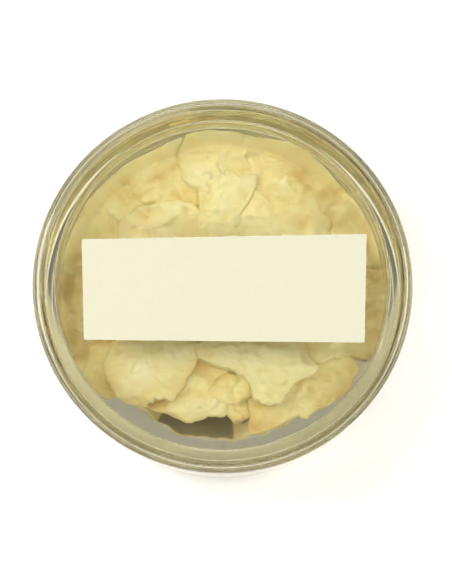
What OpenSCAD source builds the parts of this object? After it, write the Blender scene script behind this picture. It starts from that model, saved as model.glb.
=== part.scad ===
// Low clear screw-lid jar filled with scooped lumps of soft soap.
// Millimetres. The origin is the middle of the foot, +Z is up, and the label's long side runs along X.

/* [Jar] */
// Outer diameter of the jar's body
body_d = 90.2; // [89.8:0.2:90.6]
// Thickness of the body's wall
wall_t = 1.1; // [0.9:0.1:1.3]
// Thickness of the floor
floor_t = 1.4; // [1.2:0.1:1.6]
// Height of the shoulder, where the screw neck begins
shoulder_z = 22.5; // [22:0.1:23]
// Height of the rim that the seal disc closes on
mouth_z = 36.2; // [35.8:0.1:36.4]
// Diameter of the opening in the neck
bore_d = 80.2; // [79:0.1:81]
// Diameter of the neck between its threads
neck_d = 86.4; // [86.2:0.1:86.6]
// How far the middle of the foot is pushed up from the ground
push_up_h = 1.2; // [0.8:0.1:1.6]
// Inner diameter of the ring that the jar stands on
foot_inner_d = 69; // [66:1:72]
// Radius of the rounded edge between foot and body
heel_r = 5; // [4:0.5:6]

/* [Screw thread] */
// Height that one turn climbs
pitch = 5.08; // [5:0.02:5.16]
// Turns of thread on the jar and in the lid
thread_turns = 1.25; // [1:0.05:1.4]
// How far the jar's thread stands out
thread_h = 1.15; // [1:0.05:1.2]
// Width of a thread where it leaves the wall
thread_root_w = 2.3; // [2:0.1:2.4]
// Width of a thread at its crest
thread_crest_w = 0.9; // [0.7:0.1:1]
// Height of the upper end of the jar's thread
thread_top_z = 33.6; // [33:0.1:33.8]
// Gap between the flanks that pull the lid down
flank_gap = 0.3; // [0.2:0.05:0.5]
// Gap between the crest of the lid's thread and the neck
crest_gap = 0.3; // [0.2:0.05:0.5]

/* [Lid] */
// Outer diameter of the lid
lid_d = 91.8; // [91.6:0.1:92.2]
// Diameter inside the lid's skirt
skirt_bore_d = 89.2; // [89.1:0.1:89.4]
// Height of the lid
lid_h = 14.2; // [13.8:0.1:14.4]
// Thickness of the lid's top
panel_t = 1.3; // [1.1:0.1:1.5]
// Radius of the rounded top edge
lid_edge_r = 1.9; // [1.5:0.1:2.2]
// Thickness of the seal disc
seal_t = 0.5; // [0.4:0.1:0.6]
// Diameter of the seal disc
seal_d = 87.8; // [87:0.1:88.2]

/* [Label] */
// Width of the label along its rear edge
label_rear_w = 68.8; // [66:0.1:70]
// Width of the label along its front edge
label_front_w = 67; // [66:0.1:70]
// Length of the label's left side
label_left_h = 24.5; // [23:0.1:27]
// Length of the label's right side
label_right_h = 26.5; // [23:0.1:27]
// How far the label sits in front of the lid's middle
label_front_shift = 1.5; // [0:0.1:3]
// How far the label sits to the right of the lid's middle
label_right_shift = 0.4; // [0:0.1:1]
// Part of the difference between left and right side that lies at the front edge
label_skew = 0.35; // [0:0.05:1]
// Thickness of the paper
label_t = 0.2; // [0.15:0.05:0.3]

/* [Soap] */
// Height of the top of the pressed soap under the lumps
bed_z = 11; // [9:0.5:13]
// Gap between neighbouring lumps
lump_gap = 0.4; // [0.3:0.1:1]
// Gap between the soap and the plastic
wall_gap = 0.4; // [0.3:0.1:1]
// Squareness of a lump: 2 is an ellipsoid, and more is boxier
lump_square = 2.6; // [2:0.1:4]

/* [Hidden] */
body_r = body_d / 2;
cavity_r = body_r - wall_t;
bore_r = bore_d / 2;
neck_r = neck_d / 2;
foot_r = foot_inner_d / 2;
lid_r = lid_d / 2;
skirt_r = skirt_bore_d / 2;
panel_z = mouth_z + seal_t;
lid_top_z = panel_z + panel_t;
lid_low_z = lid_top_z - lid_h;
floor_z = push_up_h + floor_t;

// Each lump: name, middle [x, y, z], half sizes [x, y, z] and turn about Z.
LUMPS = [
    ["soap_lump_rear_left", [-19, 28, 16.5], [13, 10, 7], 30],
    ["soap_lump_rear_middle", [-1, 33, 16.5], [9, 8, 7], 0],
    ["soap_lump_rear_right", [17, 29, 16.5], [13, 9, 7], -30],
    ["soap_lump_left_rear", [-32, 15, 16], [9, 11, 6.5], -15],
    ["soap_lump_right_rear", [32, 15, 16], [9, 11, 6.5], 15],
    ["soap_lump_inner_rear_left", [-15, 16.5, 18.5], [11, 8, 7], 0],
    ["soap_lump_inner_rear_middle", [-1, 20, 19], [6, 9, 7], -20],
    ["soap_lump_inner_rear_right", [13, 16.5, 18.5], [11, 8.5, 7], 0],
    ["soap_lump_left", [-33, -2, 16], [9, 10, 6.5], 0],
    ["soap_lump_inner_left", [-15, -1, 18.5], [12, 10, 7], 0],
    ["soap_lump_inner_right", [9, -1, 18.5], [13, 10, 7], 0],
    ["soap_lump_right", [32, -1, 16], [10, 9, 6.5], 0],
    ["soap_lump_left_front", [-34, -17, 16], [6, 8, 6], 30],
    ["soap_lump_front_left", [-19, -19, 19], [13, 9.5, 6.5], 0],
    ["soap_lump_front_middle", [-8, -27, 15.5], [11, 6.5, 5], -5],
    ["soap_crumb_front", [4, -28.5, 16], [3, 3, 4.5], 0],
    ["soap_crumb_middle", [2.5, -24, 18.5], [4.5, 3, 4], -30],
    ["soap_lump_front_right", [7, -18.5, 20], [14.5, 10, 6.5], 0],
    ["soap_lump_front_slab", [19, -25, 15.5], [17, 7, 5.5], 30],
    ["soap_lump_right_front", [27, -13, 17.5], [10, 6.5, 5.5], 15]
];

$fn = 96;
// Points in a quarter round
arc_steps = 8;
// Thread slices in one turn
thread_slices = 48;
// Angle at which the threads' lower ends start
thread_start = 11;
// How deep a thread's root sits in its wall
thread_bite = 0.4;
// How deep a thread's crest lies under the wall at its two ends
thread_sunk = 0.15;
// How much narrower a thread gets on each side for each millimetre that it stands out
flank_slope = (thread_root_w - thread_crest_w) / 2 / thread_h;
// Part of a turn in which a thread grows from nothing to its full height
thread_fade = 0.09;
// Height of the lid's thread
lid_thread_h = skirt_r - neck_r - crest_gap;
// How far the lid's thread lies below the jar's when the lid is tight
thread_offset = thread_root_w - flank_slope * (skirt_r - neck_r) + flank_gap;
// Width of the slope between the foot's ring and its pushed-up middle
foot_slope_w = 1.6;
// How far that slope lies further out on the inside
foot_slope_shift = 0.5;
// How far below the shoulder the wall inside starts to slope in to the neck
shoulder_below = 2;
// How far above the shoulder that slope meets the neck
shoulder_above = 1.6;
// Width and height of the rounding where it does
shoulder_round = [0.6, 1];
// Gap between the lumps and the pressed soap under them
bed_gap = 0.05;
// Rings and spokes of a lump's mesh
lump_rings = 10;
lump_spokes = 20;
// Halvings used to find a lump's surface along a ray
search_steps = 12;
// Longest ray from a lump's middle
search_max = 20;

// Points of an arc about [x, z] from angle a to angle b.
function arc(x, z, r, a, b) =
    [for (i = [0:arc_steps]) let (t = a + (b - a) * i / arc_steps) [x + r * cos(t), z + r * sin(t)]];

// The jar's cavity as [r, z] points from the middle of its floor up to the shoulder, shrunk by gap.
function cavity_floor(gap) =
    let (corner_r = heel_r - wall_t)
    concat(
        [
            [0, floor_z + gap],
            [foot_r - foot_slope_w + foot_slope_shift, floor_z + gap],
            [foot_r + foot_slope_shift, floor_t + gap]
        ],
        arc(cavity_r - corner_r, floor_t + corner_r, corner_r - gap, -90, 0)
    );

// ---- jar ----
module jar_wall() {
    shoulder_edge_r = 1;
    lip_r = 0.6;
    rotate_extrude()
        polygon(concat(
            cavity_floor(0),
            [
                [cavity_r, shoulder_z - shoulder_below],
                [bore_r + shoulder_round[0], shoulder_z + shoulder_above - shoulder_round[1]],
                [bore_r, shoulder_z + shoulder_above]
            ],
            arc(bore_r + lip_r, mouth_z - lip_r, lip_r, 180, 90),
            arc(neck_r - lip_r, mouth_z - lip_r, lip_r, 90, 0),
            [[neck_r, shoulder_z]],
            arc(body_r - shoulder_edge_r, shoulder_z - shoulder_edge_r, shoulder_edge_r, 90, 0),
            arc(body_r - heel_r, heel_r, heel_r, 0, -90),
            [[foot_r, 0], [foot_r - foot_slope_w, push_up_h], [0, push_up_h]]
        ));
}

// A thread's height as a part of its full height, t turns from its lower end.
function thread_rise(t) =
    let (near = min(t, thread_turns - t) / thread_fade)
    near >= 1 ? 1 : near <= 0 ? 0 : sin(90 * near);

// One slice across a thread at t turns, on a wall of radius r, pointing out (side 1) or in (side -1).
function thread_slice(t, r, h, z0, side) =
    let (
        rise = thread_rise(t),
        root = r - side * thread_bite,
        crest = r + side * (h * rise - thread_sunk * (1 - rise)),
        root_half = thread_root_w / 2 + flank_slope * thread_bite,
        crest_half = thread_crest_w / 2,
        z = z0 + pitch * t,
        a = 360 * t + thread_start
    )
    [for (p = [[root, -root_half], [crest, -crest_half], [crest, crest_half], [root, root_half]])
        [p[0] * cos(a), p[0] * sin(a), z + p[1]]];

// A thread bead that climbs counter-clockwise from height z0.
module thread_bead(r, h, z0, side) {
    corners = 4;
    slices = ceil(thread_turns * thread_slices);
    points = [for (i = [0:slices]) each thread_slice(thread_turns * i / slices, r, h, z0, side)];
    low_end = [for (k = [1:corners - 2]) [0, k, k + 1]];
    base = slices * corners;
    high_end = [for (k = [1:corners - 2]) [base, base + k + 1, base + k]];
    sides = [for (i = [0:slices - 1], k = [0:corners - 1])
        let (a = i * corners + k, b = i * corners + (k + 1) % corners)
        each [[a, a + corners, b], [b, a + corners, b + corners]]];
    faces = concat(low_end, high_end, sides);
    polyhedron(points, side < 0 ? faces : [for (f = faces) [f[2], f[1], f[0]]]);
}

module jar() {
    color([0.86, 0.85, 0.78, 0.4])
        union() {
            jar_wall();
            thread_bead(neck_r, thread_h, thread_top_z - pitch * thread_turns, 1);
        }
}

// ---- lid ----
module lid_shell() {
    inner_edge_r = 0.7;
    hem_r = 0.5;
    rotate_extrude()
        polygon(concat(
            [[0, panel_z]],
            arc(skirt_r - inner_edge_r, panel_z - inner_edge_r, inner_edge_r, 90, 0),
            arc(skirt_r + hem_r, lid_low_z + hem_r, hem_r, 180, 270),
            arc(lid_r - hem_r, lid_low_z + hem_r, hem_r, 270, 360),
            arc(lid_r - lid_edge_r, lid_top_z - lid_edge_r, lid_edge_r, 0, 90),
            [[0, lid_top_z]]
        ));
}

module lid() {
    color([0.9, 0.89, 0.83, 0.4])
        union() {
            lid_shell();
            thread_bead(skirt_r, lid_thread_h, thread_top_z - pitch * thread_turns - thread_offset, -1);
        }
}

// ---- seal disc ----
module seal_disc() {
    color([0.93, 0.93, 0.88, 0.5])
        translate([0, 0, mouth_z])
            cylinder(d = seal_d, h = seal_t);
}

// ---- label ----
module label() {
    half_h = (label_left_h + label_right_h) / 4;
    drop = (label_right_h - label_left_h) * label_skew;
    color([0.96, 0.95, 0.84])
        translate([label_right_shift, -label_front_shift, lid_top_z])
            linear_extrude(label_t)
                polygon([
                    [-label_front_w / 2, -half_h],
                    [label_front_w / 2, -half_h - drop],
                    [label_rear_w / 2, -half_h - drop + label_right_h],
                    [-label_rear_w / 2, -half_h + label_left_h]
                ]);
}

// ---- soap ----
module soap_bed() {
    color([0.87, 0.8, 0.55])
        rotate_extrude()
            polygon(concat(
                cavity_floor(wall_gap),
                [[cavity_r - wall_gap, bed_z], [0, bed_z]]
            ));
}

// How far from the middle of the jar soap can reach at height z: it narrows below the neck.
function room_r(z) =
    let (low = cavity_r - wall_gap, high = bore_r - wall_gap, narrow_from = 16, narrow_to = shoulder_z - 1)
    z < narrow_from ? low
    : z > narrow_to ? high
    : low + (high - low) * (z - narrow_from) / (narrow_to - narrow_from);

// A lump's mean size in plan, which sets how far its border lies towards a neighbour.
function plan_size(l) = (l[2][0] + l[2][1]) / 2;

// True while p is inside lump i's own rounded form.
function in_form(p, l) =
    let (
        d = p - l[1],
        x = d[0] * cos(l[3]) + d[1] * sin(l[3]),
        y = d[1] * cos(l[3]) - d[0] * sin(l[3])
    )
    pow(abs(x) / l[2][0], lump_square) + pow(abs(y) / l[2][1], lump_square)
        + pow(abs(d[2]) / l[2][2], lump_square) < 1;

// True while p is on lump l's side of the flat border with its neighbour m.
function on_side(p, l, m) =
    let (
        away = m[1] - l[1],
        far = norm(away),
        border = far * plan_size(l) / (plan_size(l) + plan_size(m)) - lump_gap / 2
    )
    (p - l[1]) * away / far < border;

function in_lump(p, i) =
    let (l = LUMPS[i])
    p[2] > bed_z + bed_gap && norm([p[0], p[1]]) < room_r(p[2]) && in_form(p, l)
    && len([for (k = [0:len(LUMPS) - 1]) if (k != i && !on_side(p, l, LUMPS[k])) k]) == 0;

// The furthest distance from the lump's middle along unit vector d that is still soap.
function reach(i, d, low = 0, high = search_max, steps = search_steps) =
    steps == 0 ? low
    : let (mid = (low + high) / 2)
      in_lump(LUMPS[i][1] + d * mid, i) ? reach(i, d, mid, high, steps - 1) : reach(i, d, low, mid, steps - 1);

module soap_lump(i) {
    ray = [for (j = [1:lump_rings - 1], k = [0:lump_spokes - 1])
        let (lift = 90 - 180 * j / lump_rings, turn = 360 * (k + (j % 2) / 2) / lump_spokes)
        [cos(lift) * cos(turn), cos(lift) * sin(turn), sin(lift)]];
    rays = concat([[0, 0, 1]], ray, [[0, 0, -1]]);
    points = [for (d = rays) LUMPS[i][1] + d * reach(i, d)];
    last = len(rays) - 1;
    top = [for (k = [0:lump_spokes - 1]) [0, 1 + (k + 1) % lump_spokes, 1 + k]];
    low_ring = 1 + (lump_rings - 2) * lump_spokes;
    bottom = [for (k = [0:lump_spokes - 1]) [last, low_ring + k, low_ring + (k + 1) % lump_spokes]];
    bands = [for (j = [0:lump_rings - 3], k = [0:lump_spokes - 1])
        let (
            a = 1 + j * lump_spokes,
            b = a + lump_spokes,
            next = (k + 1) % lump_spokes,
            up = j % 2 == 0
        )
        each (up
            ? [[a + k, a + next, b + k], [a + next, b + next, b + k]]
            : [[a + k, a + next, b + next], [a + k, b + next, b + k]])];
    color([0.9, 0.84, 0.58])
        polyhedron(points, concat(top, bands, bottom));
}

jar();
lid();
seal_disc();
label();
soap_bed();
for (i = [0:len(LUMPS) - 1])
    soap_lump(i);
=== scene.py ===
"""Looks of a low clear screw-lid jar with lumps of soft shaving soap in it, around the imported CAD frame."""
import math

import bmesh
import bpy
import numpy as np
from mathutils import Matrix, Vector


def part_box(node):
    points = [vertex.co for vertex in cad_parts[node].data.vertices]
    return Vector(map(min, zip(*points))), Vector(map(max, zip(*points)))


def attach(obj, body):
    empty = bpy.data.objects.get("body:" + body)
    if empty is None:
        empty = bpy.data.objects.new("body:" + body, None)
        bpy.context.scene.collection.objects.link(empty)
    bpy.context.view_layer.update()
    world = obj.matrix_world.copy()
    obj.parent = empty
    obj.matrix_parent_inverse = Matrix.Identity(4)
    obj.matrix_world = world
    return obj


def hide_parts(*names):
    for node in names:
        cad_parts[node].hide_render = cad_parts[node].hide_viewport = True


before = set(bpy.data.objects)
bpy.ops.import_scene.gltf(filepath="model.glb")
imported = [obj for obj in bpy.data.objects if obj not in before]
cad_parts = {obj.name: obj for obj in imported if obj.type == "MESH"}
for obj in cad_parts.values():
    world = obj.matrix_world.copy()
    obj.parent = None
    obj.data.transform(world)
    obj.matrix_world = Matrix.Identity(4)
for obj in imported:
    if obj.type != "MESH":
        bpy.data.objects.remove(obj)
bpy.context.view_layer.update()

MM = 0.001
SOAP_NODES = [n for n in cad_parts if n.startswith("soap_") and n != "soap_bed"]

# ---- sizes that the frame's boxes don't give, in millimetres ----
WALL = 1.1
FLOOR = 1.4
HEEL_R = 5.0
PUSH_UP = 1.2
FOOT_R = 34.5
SHOULDER_Z = 22.5
BORE_R = 40.1
NECK_R = 43.2
SKIRT_R = 44.6
PANEL = 1.3
LID_EDGE_R = 1.9
PITCH = 5.08
TURNS = 1.25
THREAD_H = 0.95
LID_THREAD_H = 0.9
THREAD_ROOT = 2.3
THREAD_CREST = 0.9
THREAD_TOP_Z = 33.6
THREAD_START = math.radians(11)
# The part of a turn over which the thread rises at its start and sinks at its end
THREAD_LEAD = 0.09
# How far the lid's thread lies below the jar's
THREAD_OFFSET = 1.74
SPOKES = 288
# Where the lid's plastic starts and ends going from its panel's tint to the darker tint painted on its rim as
# shade, and the span of the ramp
RIM_START = 42.6
RIM_END = 44.4
RIM_SPAN = 50.0
# Width of the ring around a flat face that keeps its shading flat up to the rounded edge
FLAT_STEP = 0.2
# Film of air between faces that touch, so that clear plastic and what lies on it stay two surfaces
AIR = 0.03

jar_low, jar_high = (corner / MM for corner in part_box("jar"))
lid_low, lid_high = (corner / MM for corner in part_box("lid"))
BODY_R = (jar_high.x - jar_low.x) / 2
LID_R = (lid_high.x - lid_low.x) / 2
CAVITY_R = BODY_R - WALL
MOUTH_Z = jar_high.z
LID_TOP_Z = lid_high.z


# ---- noise ----
def scrambled(x, y, z, seed):
    """One number from 0 to 1 for each lattice point."""
    n = x.astype(np.uint32) * np.uint32(73856093) ^ y.astype(np.uint32) * np.uint32(19349663)
    n = n ^ z.astype(np.uint32) * np.uint32(83492791) ^ np.uint32(seed * 7919 + 17)
    n = (n ^ (n >> np.uint32(13))) * np.uint32(1274126177)
    n = (n ^ (n >> np.uint32(16))) * np.uint32(2246822519)
    return (n >> np.uint32(8)).astype(float) / 16777216.0


def smooth_noise(p, size, seed):
    """Noise from -1 to 1 that changes over about size millimetres."""
    q = p / size + 1000.0
    cell = np.floor(q)
    f = q - cell
    f = f * f * (3 - 2 * f)
    c = cell.astype(np.int64)
    total = np.zeros(len(p))
    for dx in (0, 1):
        for dy in (0, 1):
            for dz in (0, 1):
                w = (f[:, 0] if dx else 1 - f[:, 0]) * (f[:, 1] if dy else 1 - f[:, 1])
                w = w * (f[:, 2] if dz else 1 - f[:, 2])
                total += w * scrambled(c[:, 0] + dx, c[:, 1] + dy, c[:, 2] + dz, seed)
    return total * 2 - 1


def layered_noise(p, size, seed, layers=3):
    total, weight = np.zeros(len(p)), 1.0
    for k in range(layers):
        total += weight * smooth_noise(p, size / 2**k, seed + 31 * k)
        weight /= 2
    return total


def cell_noise(p, size, seed):
    """Distance to the nearest of scattered points, as a share of size: 0 at a point, about 1 between them."""
    q = p / size + 1000.0
    c = np.floor(q).astype(np.int64)
    best = np.full(len(p), 9.0)
    for dx in (-1, 0, 1):
        for dy in (-1, 0, 1):
            for dz in (-1, 0, 1):
                x, y, z = c[:, 0] + dx, c[:, 1] + dy, c[:, 2] + dz
                spot = np.stack([scrambled(x, y, z, seed + k) for k in range(3)], axis=1)
                spot += np.stack([x, y, z], axis=1)
                best = np.minimum(best, np.linalg.norm(q - spot, axis=1))
    return best


# ---- meshes ----
def arc(r, z, radius, start, end, steps=10):
    """Points of an arc about (r, z), from angle start to angle end in degrees."""
    angles = np.radians(np.linspace(start, end, steps + 1))
    return [(r + radius * math.cos(a), z + radius * math.sin(a)) for a in angles]


def wall(r, low_z, high_z, step=0.16):
    """Closely spaced points up or down a straight wall that carries a thread."""
    count = max(2, round(abs(high_z - low_z) / step))
    return [(r, z) for z in np.linspace(low_z, high_z, count)]


def thread_height(angle, z, low_z):
    """How far a thread stands out, from 0 to 1, at each angle and height of its wall."""
    best = np.zeros_like(angle)
    for turn in range(math.ceil(TURNS) + 1):
        t = ((angle - THREAD_START) % (2 * math.pi)) / (2 * math.pi) + turn
        away = np.abs(z - (low_z + PITCH * t))
        flank = np.clip((THREAD_ROOT / 2 - away) / ((THREAD_ROOT - THREAD_CREST) / 2), 0, 1)
        rise = np.clip(np.minimum(t, TURNS - t) / THREAD_LEAD, 0, 1)
        best = np.maximum(best, flank * flank * (3 - 2 * flank) * np.sin(rise * math.pi / 2))
    return best


def new_piece(name, verts, faces, sharp_deg=None):
    """A mesh object from points in millimetres."""
    mesh = bpy.data.meshes.new(name)
    mesh.from_pydata((np.asarray(verts, float) * MM).tolist(), [], faces)
    mesh.validate()
    mesh.update()
    mesh.polygons.foreach_set("use_smooth", [True] * len(mesh.polygons))
    if sharp_deg:
        mesh.set_sharp_from_angle(angle=math.radians(sharp_deg))
    piece = bpy.data.objects.new(name, mesh)
    bpy.context.scene.collection.objects.link(piece)
    return piece


def turned(name, outline, thread_r=None, thread_h=0.0, thread_low_z=0.0):
    """A solid turned about +Z from (r, z) points in millimetres, which start and end on the axis.

    The points at thread_r also carry the thread.
    """
    angles = np.arange(SPOKES) * 2 * math.pi / SPOKES
    verts, rows = [], []
    for r, z in outline:
        if r < 1e-6:
            rows.append([len(verts)])
            verts.append((0.0, 0.0, z))
            continue
        radius = np.full(SPOKES, r)
        if thread_r is not None and abs(r - thread_r) < 1e-6:
            radius += thread_h * thread_height(angles, np.full(SPOKES, z), thread_low_z)
        rows.append(list(range(len(verts), len(verts) + SPOKES)))
        verts += list(zip(radius * np.cos(angles), radius * np.sin(angles), np.full(SPOKES, z)))
    faces = []
    for a, b in zip(rows, rows[1:]):
        for k in range(SPOKES):
            n = (k + 1) % SPOKES
            if len(a) == 1:
                faces.append((a[0], b[n], b[k]))
            elif len(b) == 1:
                faces.append((a[k], a[n], b[0]))
            else:
                faces.append((a[k], a[n], b[n], b[k]))
    piece = new_piece(name, verts, faces, sharp_deg=40)
    return facing_out(piece)


def facing_out(piece):
    """Turns all faces of a closed mesh outwards."""
    work = bmesh.new()
    work.from_mesh(piece.data)
    bmesh.ops.recalc_face_normals(work, faces=work.faces)
    work.to_mesh(piece.data)
    work.free()
    return piece


# ---- clear plastic ----
def cavity_outline():
    """The jar's cavity from the middle of its floor up to below the shoulder."""
    corner = HEEL_R - WALL
    return [
        (0, PUSH_UP + FLOOR), (FOOT_R - 3 - FLAT_STEP, PUSH_UP + FLOOR), (FOOT_R - 3, PUSH_UP + FLOOR),
        (FOOT_R - 1.3, PUSH_UP + FLOOR - 0.1),
        (FOOT_R + 0.7, FLOOR + 0.1), (FOOT_R + 2, FLOOR),
        *arc(CAVITY_R - corner, FLOOR + corner, corner, -90, 0),
    ]


def make_jar():
    lip, edge = 0.6, 1.0
    outline = [
        *cavity_outline(),
        (CAVITY_R, SHOULDER_Z - 3.2),
        *arc(CAVITY_R - 2.0, SHOULDER_Z - 2.2, 2.0, 0, 50, 6),
        *arc(BORE_R + 1.2, SHOULDER_Z + 1.9, 1.2, 230, 180, 6),
        *arc(BORE_R + lip, MOUTH_Z - lip, lip, 180, 90, 6),
        *arc(NECK_R - lip, MOUTH_Z - lip, lip, 90, 0, 6),
        *wall(NECK_R, MOUTH_Z - lip - 0.2, SHOULDER_Z + 1.2),
        *arc(NECK_R + 0.5, SHOULDER_Z + 0.5, 0.5, 180, 270, 5),
        *arc(BODY_R - edge, SHOULDER_Z - edge, edge, 90, 0, 6),
        *arc(BODY_R - HEEL_R, HEEL_R, HEEL_R, 0, -90, 14),
        (FOOT_R + 0.2, 0), (FOOT_R - 0.6, 0.2), (FOOT_R - 1.6, PUSH_UP - 0.15), (FOOT_R - 2.4, PUSH_UP),
        (FOOT_R - 2.4 - FLAT_STEP, PUSH_UP), (0, PUSH_UP),
    ]
    return turned("jar_shell", outline, NECK_R, THREAD_H, THREAD_TOP_Z - PITCH * TURNS)


def make_lid():
    panel_z, inner, hem = LID_TOP_Z - PANEL, 0.7, 0.45
    outline = [
        (0, panel_z), (SKIRT_R - inner - FLAT_STEP, panel_z),
        *arc(SKIRT_R - inner, panel_z - inner, inner, 90, 0, 6),
        *wall(SKIRT_R, panel_z - inner - 0.2, lid_low.z + hem + 0.2),
        *arc(SKIRT_R + hem, lid_low.z + hem, hem, 180, 270, 5),
        *arc(LID_R - hem, lid_low.z + hem, hem, 270, 360, 5),
        *arc(LID_R - LID_EDGE_R, LID_TOP_Z - LID_EDGE_R, LID_EDGE_R, 0, 90, 12),
        (LID_R - LID_EDGE_R - FLAT_STEP, LID_TOP_Z), (0, LID_TOP_Z),
    ]
    low_z = THREAD_TOP_Z - PITCH * TURNS - THREAD_OFFSET
    return turned("lid_shell", outline, SKIRT_R, -LID_THREAD_H, low_z)


def make_seal():
    low, high = (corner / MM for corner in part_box("seal_disc"))
    r, low_z, high_z, edge = high.x, low.z + AIR, high.z - AIR, 0.12
    outline = [
        (0, low_z), (r - edge - FLAT_STEP, low_z),
        *arc(r - edge, low_z + edge, edge, -90, 0, 4),
        *arc(r - edge, high_z - edge, edge, 0, 90, 4),
        (r - edge - FLAT_STEP, high_z), (0, high_z),
    ]
    return turned("seal_sheet", outline)


# ---- soap ----
def room_r(z):
    """How far from the jar's axis soap can reach at height z."""
    wide, narrow, margin = CAVITY_R, BORE_R, 0.12
    t = np.clip((z - (SHOULDER_Z - 2.6)) / 3.6, 0, 1)
    return wide + (narrow - wide) * t - margin


def kept_in_jar(p):
    """Presses points that would pass the wall, the floor or the seal flat against it."""
    r = np.hypot(p[:, 0], p[:, 1])
    limit = room_r(p[:, 2])
    k = np.where(r > limit, limit / np.maximum(r, 1e-9), 1.0)
    p[:, 0] *= k
    p[:, 1] *= k
    p[:, 2] = np.clip(p[:, 2], FLOOR + 0.05, MOUTH_Z - 1.0)
    return p


def points_of(mesh):
    flat = np.empty(len(mesh.vertices) * 3)
    mesh.vertices.foreach_get("co", flat)
    return flat.reshape(-1, 3) / MM


def normals_of(mesh):
    flat = np.empty(len(mesh.vertices) * 3)
    mesh.vertices.foreach_get("normal", flat)
    return flat.reshape(-1, 3)


def set_points(mesh, p):
    mesh.vertices.foreach_set("co", (p * MM).astype(np.float32).ravel())
    mesh.update()


def set_shade_and_tone(mesh, shade_and_tone):
    """Stores the soap's paleness at each point, mostly painted light: painted shade at 0 in the creases,
    painted highlight at 1 on the crests, painted shade down to -0.5 in a deep pit, with some uneven colour of
    the soap's own.
    """
    layer = mesh.attributes.new("shade_and_tone", "FLOAT", "POINT")
    layer.data.foreach_set("value", np.clip(shade_and_tone, -0.5, 1).astype(np.float32))


def evaluated(piece):
    """Applies the piece's modifiers to its mesh."""
    fixed = bpy.data.meshes.new_from_object(piece.evaluated_get(bpy.context.evaluated_depsgraph_get()))
    piece.modifiers.clear()
    piece.data = fixed
    return piece


def eased(t):
    """Goes smoothly from 0 to 1 while t does."""
    t = np.clip(t, 0, 1)
    return t * t * (3 - 2 * t)


# Plan outline of each lump with a clear shape of its own, as parts of its CAD box: 0, 0 is its front left
# corner and 1, 1 its rear right one. The other lumps have a rounded outline.
OUTLINES = {
    "soap_lump_front_left": [
        (0.0, 0.55), (0.1, 0.85), (0.35, 1.05), (0.8, 1.05), (1.1, 0.8), (1.05, 0.5), (0.95, 0.28),
        (0.82, 0.02), (0.68, 0.1), (0.45, 0.0), (0.22, 0.06), (0.05, 0.3),
    ],
    "soap_lump_front_middle": [
        (-0.1, 0.45), (0.2, 0.9), (0.6, 1.15), (0.95, 1.2), (1.25, 0.95), (1.15, 0.6), (1.1, 0.28),
        (0.96, 0.2), (0.8, 0.24), (0.5, 0.14), (0.3, 0.26), (0.1, 0.3),
    ],
    "soap_lump_front_right": [
        (-0.12, 0.75), (-0.05, 0.6), (0.1, 0.5), (0.32, 0.45), (0.45, 0.38), (0.52, 0.2), (0.52, 0.03),
        (0.6, -0.04), (0.85, -0.02), (0.93, 0.12), (0.95, 0.25), (1.12, 0.35), (1.2, 0.46), (1.1, 0.6),
        (1.1, 0.75), (1.0, 1.05), (0.3, 1.05),
    ],
    "soap_lump_front_slab": [
        (-0.04, 0.0), (-0.06, 0.3), (0.0, 0.6), (0.4, 0.95), (0.7, 1.05), (1.05, 1.08), (1.12, 0.9),
        (1.04, 0.6), (0.86, 0.42), (0.66, 0.32), (0.54, 0.2), (0.44, 0.24), (0.24, 0.08),
    ],
    "soap_lump_right_front": [
        (-0.35, 1.0), (-0.1, 0.45), (0.2, 0.15), (0.5, 0.2), (0.8, 0.3), (1.1, 0.2), (1.15, 0.8), (0.6, 1.1),
    ],
    "soap_lump_left_front": [
        (0.05, 1.1), (0.15, 0.7), (0.4, 0.45), (0.55, 0.2), (0.75, -0.05), (1.05, -0.1), (1.1, 0.3),
        (1.05, 1.1),
    ],
    "soap_crumb_middle": [
        (-0.3, 0.4), (-0.1, 0.9), (0.5, 1.1), (1.1, 0.9), (1.15, 0.3), (0.7, -0.1), (0.1, 0.0),
    ],
    "soap_lump_inner_rear_left": [
        (-0.15, 0.2), (-0.1, 0.6), (0.1, 0.85), (0.45, 1.0), (0.8, 0.95), (1.1, 0.75), (1.15, 0.0),
        (0.5, -0.2),
    ],
    "soap_lump_inner_rear_middle": [
        (0.0, 0.0), (-0.05, 0.35), (0.1, 0.6), (0.05, 0.95), (0.5, 1.2), (1.2, 1.15), (1.1, 0.8), (0.9, 0.5),
        (0.95, 0.0),
    ],
    "soap_lump_inner_rear_right": [
        (-0.15, 0.0), (-0.1, 0.7), (0.1, 1.0), (0.3, 1.1), (0.45, 0.9), (0.65, 1.1), (0.8, 0.95), (1.0, 1.0),
        (1.2, 0.6), (1.25, 0.1), (0.5, -0.2),
    ],
    "soap_lump_right_rear": [
        (0.0, 0.2), (-0.15, 0.55), (0.0, 0.7), (-0.1, 0.9), (0.1, 1.05), (0.3, 0.95), (0.5, 1.15), (0.9, 1.0),
        (1.1, 0.6), (1.1, 0.1), (0.5, -0.1),
    ],
}
SPOKES_OF_LUMP = 200
RINGS_ON_TOP = 34
RINGS_OF_EDGE = 8
RINGS_OF_SIDE = 16
# For each kind of lump: radius of its rounded edge, raggedness of its outline and depth of its torn ledges
OUTLINED, OUTLINED_CRUMB = (0.8, 0.75, 0.3), (1.2, 0.3, 0.15)
ROUNDED, ROUNDED_CRUMB = (1.1, 1.5, 0.42), (1.1, 0.2, 0.1)
# How much larger than its CAD box a rounded lump is, so that it presses into its neighbours
ROUNDED_GROWTH = 1.2
# Lumps whose middle is in front of this y lie loose in front; the others are pressed together
FRONT_Y = -8
# Painted shade: how much darker a lump is painted at its edge and down its sides
SHADE_PAINTED_IN_FRONT, SHADE_PAINTED_ELSEWHERE = (0.22, 0.4), (0.05, 0.25)
DOME_HEIGHT = 1.1


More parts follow.
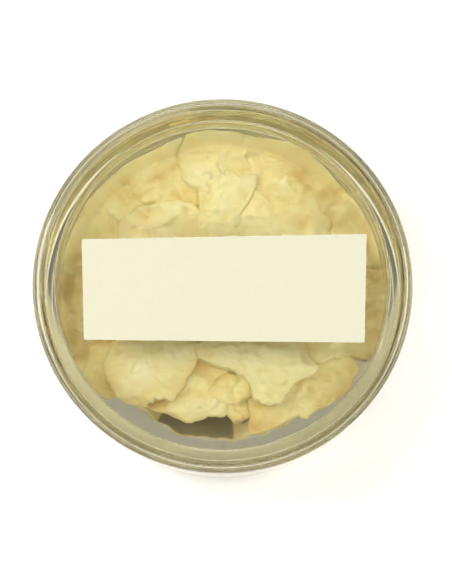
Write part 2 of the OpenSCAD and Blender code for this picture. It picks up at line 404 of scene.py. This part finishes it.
def border_r(corners, angles):
    """Distance from the middle to a closed outline of straight pieces, at each angle."""
    best = np.zeros(len(angles))
    ray = np.stack([np.cos(angles), np.sin(angles)], axis=1)
    for a, b in zip(corners, corners[1:] + corners[:1]):
        a, along = np.array(a), np.array(b) - np.array(a)
        cross = ray[:, 0] * along[1] - ray[:, 1] * along[0]
        safe = np.where(np.abs(cross) < 1e-9, 1e-9, cross)
        far = (a[0] * along[1] - a[1] * along[0]) / safe
        where = (a[0] * ray[:, 1] - a[1] * ray[:, 0]) / safe
        hit = (far > 0) & (where >= -1e-6) & (where <= 1 + 1e-6)
        best = np.where(hit, np.maximum(best, far), best)
    return best


def rounded_r(half_x, half_y, angles):
    """Distance from the middle to the edge of a rounded rectangle, at each angle."""
    power = 2.8
    across, deep = np.abs(np.cos(angles) / half_x), np.abs(np.sin(angles) / half_y)
    return (across ** power + deep ** power) ** (-1 / power)


def softened(values, times):
    """Smooths a closed row of values."""
    for _ in range(times):
        values = (np.roll(values, 1) + 2 * values + np.roll(values, -1)) / 4
    return values


def steps(p, size, seed, sharp=5.0):
    """Noise that jumps between two levels along a torn line."""
    return np.clip(sharp * layered_noise(p, size, seed, 3), -1, 1)


def top_relief(p, seed, torn):
    """How far the top of the soap stands above or below its mean height: swells, ledges, smears and pits."""
    swell = 1.0 * layered_noise(p, 10.0, 5, 2)
    ledges = torn * (steps(p, 8.0, seed + 40, 7.0) + 0.5 * steps(p, 3.6, seed + 60, 5.0))
    smears = 0.3 * layered_noise(p * np.array([0.6, 1.6, 1.0]), 3.4, seed + 80, 3)
    pits = -1.0 * np.clip(0.26 - cell_noise(p, 6.0, seed + 9), 0, 1) / 0.26
    pillows = 1.3 * np.abs(layered_noise(p, 7.0, 77, 3)) - 0.5
    return swell + ledges + smears + pits + pillows


def bank_height(p):
    """How much higher the soap stands where it is pressed up against the neck, at the rear and the sides."""
    height = 5.0
    radius = np.hypot(p[:, 0], p[:, 1])
    rear = eased((p[:, 1] / np.maximum(radius, 1e-9) + 0.35) / 0.7)
    return height * rear * eased((radius - 37.0) / 3.0) * (1 + 0.5 * layered_noise(p, 9.0, 61, 2))


def lump_border(node, seed, middle, half, high_z, angles):
    """A lump's ragged outline as distances from its middle, its edge radius and the depth of its ledges."""
    crumb = "crumb" in node
    if node in OUTLINES:
        corners = [((u * 2 - 1) * half[0], (v * 2 - 1) * half[1]) for u, v in OUTLINES[node]]
        border = softened(border_r(corners, angles), 3)
        edge_r, ragged, torn = OUTLINED_CRUMB if crumb else OUTLINED
    else:
        grow = 1.0 if crumb else ROUNDED_GROWTH
        border = rounded_r(half[0] * grow, half[1] * grow, angles)
        edge_r, ragged, torn = ROUNDED_CRUMB if crumb else ROUNDED
    rim = np.column_stack([
        border * np.cos(angles) + middle[0],
        border * np.sin(angles) + middle[1],
        np.full(len(angles), high_z),
    ])
    border = border + ragged * (layered_noise(rim, 4.5, seed, 4) + 0.3 * steps(rim, 2.2, seed + 5))
    return border, edge_r, torn


def lump_rows(border, edge_r, top_z, low_z, front):
    """Rings of a lump from its top to its underside: their radii, height and share of the top's relief."""
    rows = []
    for k in range(1, RINGS_ON_TOP + 1):
        rows.append(((border - edge_r) * k / RINGS_ON_TOP, top_z, 1.0))
    for k in range(1, RINGS_OF_EDGE + 1):
        turn = math.pi / 2 * k / RINGS_OF_EDGE
        rows.append((border - edge_r * (1 - math.sin(turn)), top_z - edge_r * (1 - math.cos(turn)), 1.0))
    drop = top_z - edge_r - low_z
    for k in range(1, RINGS_OF_SIDE + 1):
        t = k / RINGS_OF_SIDE
        lean = -0.14 * t if front else 0.12 * (math.sin(math.pi * t) - t)
        rows.append((border * (1 + lean), top_z - edge_r - drop * t, 1 - t))
    return rows


def lump_mesh(node, middle, angles, rows, top_z, low_z):
    """Joins a lump's rings into a closed mesh. Also gives each point's share of the top's relief."""
    verts, shares = [(middle[0], middle[1], top_z)], [1.0]
    for radius, z, share in rows:
        x, y = middle[0] + radius * np.cos(angles), middle[1] + radius * np.sin(angles)
        verts += list(zip(x, y, np.full(len(angles), z)))
        shares += [share] * len(angles)
    verts.append((middle[0], middle[1], low_z))
    shares.append(0.0)
    faces = []
    count, last = SPOKES_OF_LUMP, len(verts) - 1
    for k in range(count):
        n = (k + 1) % count
        faces.append((0, 1 + k, 1 + n))
        faces.append((last, last - count + n, last - count + k))
    for j in range(len(rows) - 1):
        a, b = 1 + j * count, 1 + (j + 1) * count
        faces += [(a + k, b + k, b + (k + 1) % count, a + (k + 1) % count) for k in range(count)]
    return new_piece(node.replace("soap_", "soft_"), verts, faces), np.array(shares)


def make_lump(node, seed):
    """One lump of scooped soap: a broken slab with a swelling top, a ragged edge and torn sides."""
    low, high = (np.array(corner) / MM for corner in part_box(node))
    middle, half = (low + high) / 2, (high - low) / 2
    angles = np.arange(SPOKES_OF_LUMP) * 2 * math.pi / SPOKES_OF_LUMP
    border, edge_r, torn = lump_border(node, seed, middle, half, high[2], angles)
    front = middle[1] < FRONT_Y
    top_z = high[2] - 0.4 + (0.0 if front else 0.9 * math.sin(seed * 2.3))
    rows = lump_rows(border, edge_r, top_z, low[2], front)
    piece, share = lump_mesh(node, middle, angles, rows, top_z, low[2])
    p, n = points_of(piece.data), normals_of(piece.data)
    from_middle = np.hypot((p[:, 0] - middle[0]) / half[0], (p[:, 1] - middle[1]) / half[1])
    plan = np.column_stack([p[:, :2], np.full(len(p), high[2])])
    dome = -DOME_HEIGHT * np.clip(from_middle, 0, 1.2) ** 2
    relief, bank = top_relief(plan, seed, torn), bank_height(p)
    at_edge = np.clip((from_middle - 0.55) / 0.6, 0, 1)
    # Painted shade darkens each lump towards its edge and down its sides
    edge_shade, side_shade = SHADE_PAINTED_IN_FRONT if front else SHADE_PAINTED_ELSEWHERE
    # Painted highlight and shade: the soap is painted paler on its crests and darker in its creases
    shade_and_tone = 0.56 + 0.24 * relief - edge_shade * at_edge - side_shade * (1 - share)
    # Painted shade and light: lumps lying lower are painted darker, and soap standing higher, also where it
    # banks up against the neck, paler
    shade_and_tone += 0.05 * (high[2] - 25)
    shade_and_tone += 0.04 * bank
    p[:, 2] += share * (relief + dome + bank)
    side = 1 - np.clip(n[:, 2], 0, 1)
    crumbly = 0.22 * layered_noise(p, 2.6, seed + 7, 3) * (0.3 + 0.7 * side)
    torn_side = 0.9 * layered_noise(p, 6.0, seed + 21, 3) + 0.5 * np.abs(layered_noise(p, 3.5, seed + 25, 2))
    p += n * (crumbly + side * (1 - share) * torn_side)[:, None]
    set_points(piece.data, kept_in_jar(p))
    set_shade_and_tone(piece.data, shade_and_tone + 0.15 * layered_noise(p, 5.0, seed + 15, 2))
    return piece


def bed_bay(angle):
    """How much of the deep bay at the front there is at an angle, from 0 to 1."""
    middle_deg, half_width_deg = -102, 12
    return eased(2.2 - np.abs(np.degrees(angle) - middle_deg) / half_width_deg)


def bed_reach(angle):
    """How far out the pressed soap reaches: to the wall at the rear, and short of it at the front."""
    clearance, front_gap = 0.1, 9.0
    return CAVITY_R - clearance - front_gap * eased(-np.sin(angle) * 2.2 - 0.2)


def make_bed():
    """The pressed soap under the lumps: uneven, heaped up in the middle, and short of the wall in front."""
    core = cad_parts["soap_bed"].data
    piece = new_piece("soft_bed", points_of(core), [tuple(f.vertices) for f in core.polygons])
    fuse = piece.modifiers.new("fuse", "REMESH")
    fuse.mode = "VOXEL"
    fuse.voxel_size = 0.6 * MM
    evaluated(piece)
    p, n = points_of(piece.data), normals_of(piece.data)
    angle = np.arctan2(p[:, 1], p[:, 0])
    radius = np.hypot(p[:, 0], p[:, 1])
    heap = 8.0 * eased((37.0 - radius) / 5.0) * eased((p[:, 2] - 4.0) / 6.0)
    dig = bed_bay(angle) * eased((radius - 33.0) / 4.0)
    outer = np.clip(radius / CAVITY_R * 3 - 2, 0, 1)
    shrink = bed_reach(angle) / CAVITY_R
    p[:, :2] *= shrink[:, None]
    p[:, :2] += n[:, :2] * (outer * (1 - shrink) * 6 * layered_noise(p, 5.0, 23, 3))[:, None]
    grow = 0.3 + 0.9 * np.clip(n[:, 2], 0, 1) * layered_noise(p, 5.0, 11, 3) * (1 - dig)
    p[:, 2] += heap * (1 - dig)
    p[:, 2] = FLOOR + (p[:, 2] - FLOOR) * (1 - 0.8 * dig)
    p += n * grow[:, None]
    set_points(piece.data, kept_in_jar(p))
    # Painted shade: the floor of the deep bay at the front is painted dark, as an unlit pit
    pit = eased(dig * 5 - 4) * np.clip(n[:, 2], 0, 1)
    set_shade_and_tone(piece.data, 0.3 + 0.2 * layered_noise(p, 6.0, 12, 2) - 0.9 * pit)
    piece.data.polygons.foreach_set("use_smooth", [True] * len(piece.data.polygons))
    return piece


# ---- label ----
def label_corners():
    """The label's corners from its CAD solid: front left, front right, rear right, rear left."""
    p = points_of(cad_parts["label"].data)[:, :2]
    middle = p.mean(axis=0)
    signs = ((-1, -1), (1, -1), (1, 1), (-1, 1))
    return [p[np.argmax((p - middle) @ np.array([sx * 0.4, sy]))] for sx, sy in signs]


def make_label():
    low, high = (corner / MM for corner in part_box("label"))
    across, deep = 150, 60
    fl, fr, rr, rl = label_corners()
    u = np.linspace(0, 1, across)
    v = np.linspace(0, 1, deep)
    verts = []
    for z in (low.z + AIR, high.z):
        for b in v:
            for a in u:
                x, y = (fl * (1 - a) + fr * a) * (1 - b) + (rl * (1 - a) + rr * a) * b
                verts.append((x, y, z))

    def index(layer, j, i):
        return (layer * deep + j) * across + i

    faces = []
    for j in range(deep - 1):
        for i in range(across - 1):
            faces.append((index(0, j, i), index(0, j + 1, i), index(0, j + 1, i + 1), index(0, j, i + 1)))
            faces.append((index(1, j, i), index(1, j, i + 1), index(1, j + 1, i + 1), index(1, j + 1, i)))
    for i in range(across - 1):
        faces.append((index(0, 0, i), index(0, 0, i + 1), index(1, 0, i + 1), index(1, 0, i)))
        last = deep - 1
        faces.append((index(0, last, i + 1), index(0, last, i), index(1, last, i), index(1, last, i + 1)))
    for j in range(deep - 1):
        last = across - 1
        faces.append((index(0, j + 1, 0), index(0, j, 0), index(1, j, 0), index(1, j + 1, 0)))
        faces.append((index(0, j, last), index(0, j + 1, last), index(1, j + 1, last), index(1, j, last)))
    return facing_out(new_piece("paper_label", verts, faces, sharp_deg=40))


# ---- materials ----
def new_material(name):
    material = bpy.data.materials.new(name)
    material.use_nodes = True
    tree = material.node_tree
    return material, tree, tree.nodes["Principled BSDF"]


def noise_node(tree, scale, detail=4.0, rough=0.55):
    place = tree.nodes.new("ShaderNodeTexCoord")
    noise = tree.nodes.new("ShaderNodeTexNoise")
    noise.inputs["Scale"].default_value = scale
    noise.inputs["Detail"].default_value = detail
    noise.inputs["Roughness"].default_value = rough
    tree.links.new(place.outputs["Object"], noise.inputs["Vector"])
    return noise


def colour_ramp(tree, source, stops):
    ramp = tree.nodes.new("ShaderNodeValToRGB")
    ramp.color_ramp.elements[0].position, ramp.color_ramp.elements[0].color = stops[0]
    ramp.color_ramp.elements[1].position, ramp.color_ramp.elements[1].color = stops[-1]
    for position, colour in stops[1:-1]:
        ramp.color_ramp.elements.new(position).color = colour
    tree.links.new(source, ramp.inputs["Fac"])
    return ramp.outputs["Color"]


def bump(tree, shader, height, strength, distance):
    node = tree.nodes.new("ShaderNodeBump")
    node.inputs["Strength"].default_value = strength
    node.inputs["Distance"].default_value = distance
    tree.links.new(height, node.inputs["Height"])
    tree.links.new(node.outputs["Normal"], shader.inputs["Normal"])


def tint_and_rim_shade_by_radius(tree, tint, rim):
    """Goes from tint to the darker rim colour across the rounded edge, by the distance from the jar's axis:
    painted shade that dims what is seen through the rim.
    """
    place = tree.nodes.new("ShaderNodeTexCoord")
    flat = tree.nodes.new("ShaderNodeVectorMath")
    flat.operation = "MULTIPLY"
    flat.inputs[1].default_value = (1 / (RIM_SPAN * MM), 1 / (RIM_SPAN * MM), 0)
    tree.links.new(place.outputs["Object"], flat.inputs[0])
    far = tree.nodes.new("ShaderNodeVectorMath")
    far.operation = "LENGTH"
    tree.links.new(flat.outputs["Vector"], far.inputs[0])
    stops = [(RIM_START / RIM_SPAN, (*tint, 1)), (RIM_END / RIM_SPAN, (*rim, 1))]
    return colour_ramp(tree, far.outputs["Value"], stops)


def clear_plastic(name, tint, murk, roughness=0.03, ior=1.5, rim=None):
    """Clear plastic: tint is what each wall lets through, rim what the rounded edge lets through, painted
    darker as shade, murk how fast thick parts go khaki.
    """
    material, tree, shader = new_material(name)
    if rim:
        tree.links.new(tint_and_rim_shade_by_radius(tree, tint, rim), shader.inputs["Base Color"])
    else:
        shader.inputs["Base Color"].default_value = (*tint, 1)
    shader.inputs["Transmission Weight"].default_value = 1.0
    shader.inputs["IOR"].default_value = ior
    shader.inputs["Roughness"].default_value = roughness
    ripple = noise_node(tree, 90.0, 2.0)
    bump(tree, shader, ripple.outputs["Fac"], 0.06, 0.0004)
    depth = tree.nodes.new("ShaderNodeVolumeAbsorption")
    depth.inputs["Color"].default_value = (0.62, 0.60, 0.46, 1)
    depth.inputs["Density"].default_value = murk
    tree.links.new(depth.outputs["Volume"], tree.nodes["Material Output"].inputs["Volume"])
    return material


def soap_material():
    material, tree, shader = new_material("soap")
    shade_and_tone = tree.nodes.new("ShaderNodeAttribute")
    shade_and_tone.attribute_name = "shade_and_tone"
    cloudy = noise_node(tree, 210.0, 5.0)
    mix = tree.nodes.new("ShaderNodeMath")
    mix.operation = "MULTIPLY_ADD"
    mix.inputs[1].default_value = 0.4
    tree.links.new(cloudy.outputs["Fac"], mix.inputs[0])
    lower = tree.nodes.new("ShaderNodeMath")
    lower.operation = "MULTIPLY"
    lower.inputs[1].default_value = 0.8
    tree.links.new(shade_and_tone.outputs["Fac"], lower.inputs[0])
    tree.links.new(lower.outputs["Value"], mix.inputs[2])
    # From painted shade in pits and creases at the low end to pale soap with painted highlights on its crests
    # at the high end; the cloudy noise is the soap's own uneven colour
    stops = [
        (0.0, (0.27, 0.23, 0.11, 1)), (0.16, (0.72, 0.53, 0.20, 1)), (0.4, (0.87, 0.74, 0.36, 1)),
        (0.68, (0.94, 0.85, 0.48, 1)), (1.0, (0.97, 0.92, 0.60, 1)),
    ]
    tree.links.new(colour_ramp(tree, mix.outputs["Value"], stops), shader.inputs["Base Color"])
    shader.inputs["Roughness"].default_value = 0.5
    shader.inputs["Subsurface Weight"].default_value = 0.4
    shader.inputs["Subsurface Radius"].default_value = (1.0, 0.75, 0.35)
    shader.inputs["Subsurface Scale"].default_value = 0.0009
    grain = noise_node(tree, 900.0, 5.0, 0.6)
    bump(tree, shader, grain.outputs["Fac"], 0.2, 0.0003)
    return material


def paper_material():
    material, tree, shader = new_material("label_paper")
    fibres = noise_node(tree, 900.0, 6.0, 0.7)
    stops = [(0.3, (0.635, 0.61, 0.45, 1)), (0.7, (0.655, 0.63, 0.465, 1))]
    tree.links.new(colour_ramp(tree, fibres.outputs["Fac"], stops), shader.inputs["Base Color"])
    shader.inputs["Roughness"].default_value = 0.8
    bump(tree, shader, fibres.outputs["Fac"], 0.2, 0.0001)
    return material


# ---- stage ----
def make_floor():
    size = 3000.0
    verts = [(-size, -size, 0), (size, -size, 0), (size, size, 0), (-size, size, 0)]
    floor = new_piece("floor", verts, [(0, 1, 2, 3)])
    material, tree, shader = new_material("pale_floor")
    shader.inputs["Base Color"].default_value = (0.93, 0.93, 0.92, 1)
    shader.inputs["Roughness"].default_value = 0.9
    shader.inputs["Emission Color"].default_value = (1.0, 0.99, 0.96, 1)
    shader.inputs["Emission Strength"].default_value = 0.11
    floor.data.materials.append(material)


def area_light(name, place, aim, size, power):
    light = bpy.data.lights.new(name, "AREA")
    light.shape = "RECTANGLE"
    light.size, light.size_y = size
    light.energy = power
    lamp = bpy.data.objects.new(name, light)
    lamp.location = place
    lamp.rotation_euler = (Vector(aim) - Vector(place)).to_track_quat("-Z", "Y").to_euler()
    bpy.context.scene.collection.objects.link(lamp)


def make_lights():
    world = bpy.data.worlds.new("room")
    world.use_nodes = True
    world.node_tree.nodes["Background"].inputs["Color"].default_value = (0.86, 0.85, 0.82, 1)
    world.node_tree.nodes["Background"].inputs["Strength"].default_value = 0.40
    bpy.context.scene.world = world
    middle = (0, 0, 0.02)
    area_light("left_window", (-0.52, 0.15, 0.8), middle, (0.4, 0.5), 4.8)
    area_light("right_window", (0.56, 0.1, 0.8), middle, (0.35, 0.4), 2.6)
    area_light("front_fill", (0.0, -0.5, 0.8), middle, (0.6, 0.35), 2.6)
    area_light("rear_fill", (-0.1, 0.85, 0.75), middle, (0.7, 0.3), 3.5)


def make_camera():
    """From 80 degrees above the front."""
    elevation, distance = math.radians(80), 0.395
    aim = Vector((0.00084, -0.0023, 0.036))
    data = bpy.data.cameras.new("camera")
    data.lens = 100.9
    camera = bpy.data.objects.new("camera", data)
    camera.location = aim + distance * Vector((0, -math.cos(elevation), math.sin(elevation)))
    camera.rotation_euler = (aim - camera.location).to_track_quat("-Z", "Y").to_euler()
    bpy.context.scene.collection.objects.link(camera)
    bpy.context.scene.camera = camera


def fitted(piece, body, node, material):
    """Puts a finished piece in place of its CAD node."""
    piece.data.materials.clear()
    piece.data.materials.append(material)
    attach(piece, body)
    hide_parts(node)


def build():
    clear_jar = clear_plastic("jar_plastic", (0.88, 0.85, 0.68), 12.0)
    # The lid's rim colour is painted shade, darker than the panel's tint
    clear_lid = clear_plastic("lid_plastic", (0.94, 0.93, 0.87), 80.0, rim=(0.66, 0.63, 0.48))
    clear_seal = clear_plastic("seal_plastic", (0.99, 0.99, 0.97), 0.0, 0.04, 1.25)
    soap = soap_material()
    fitted(make_jar(), "jar", "jar", clear_jar)
    fitted(make_lid(), "lid", "lid", clear_lid)
    fitted(make_seal(), "seal", "seal_disc", clear_seal)
    fitted(make_label(), "lid", "label", paper_material())
    fitted(make_bed(), "jar", "soap_bed", soap)
    for k, node in enumerate(SOAP_NODES):
        fitted(make_lump(node, 100 + k), "jar", node, soap)


make_camera()
make_lights()
make_floor()
build()
bpy.context.scene.view_settings.view_transform = "Standard"
# Keeps clear plastic clear to the light that reaches the soap through it, past all its surfaces
bpy.context.scene.cycles.blur_glossy = 0.0
bpy.context.scene.cycles.max_bounces = 24
bpy.context.scene.cycles.glossy_bounces = 16
bpy.context.scene.cycles.transmission_bounces = 16
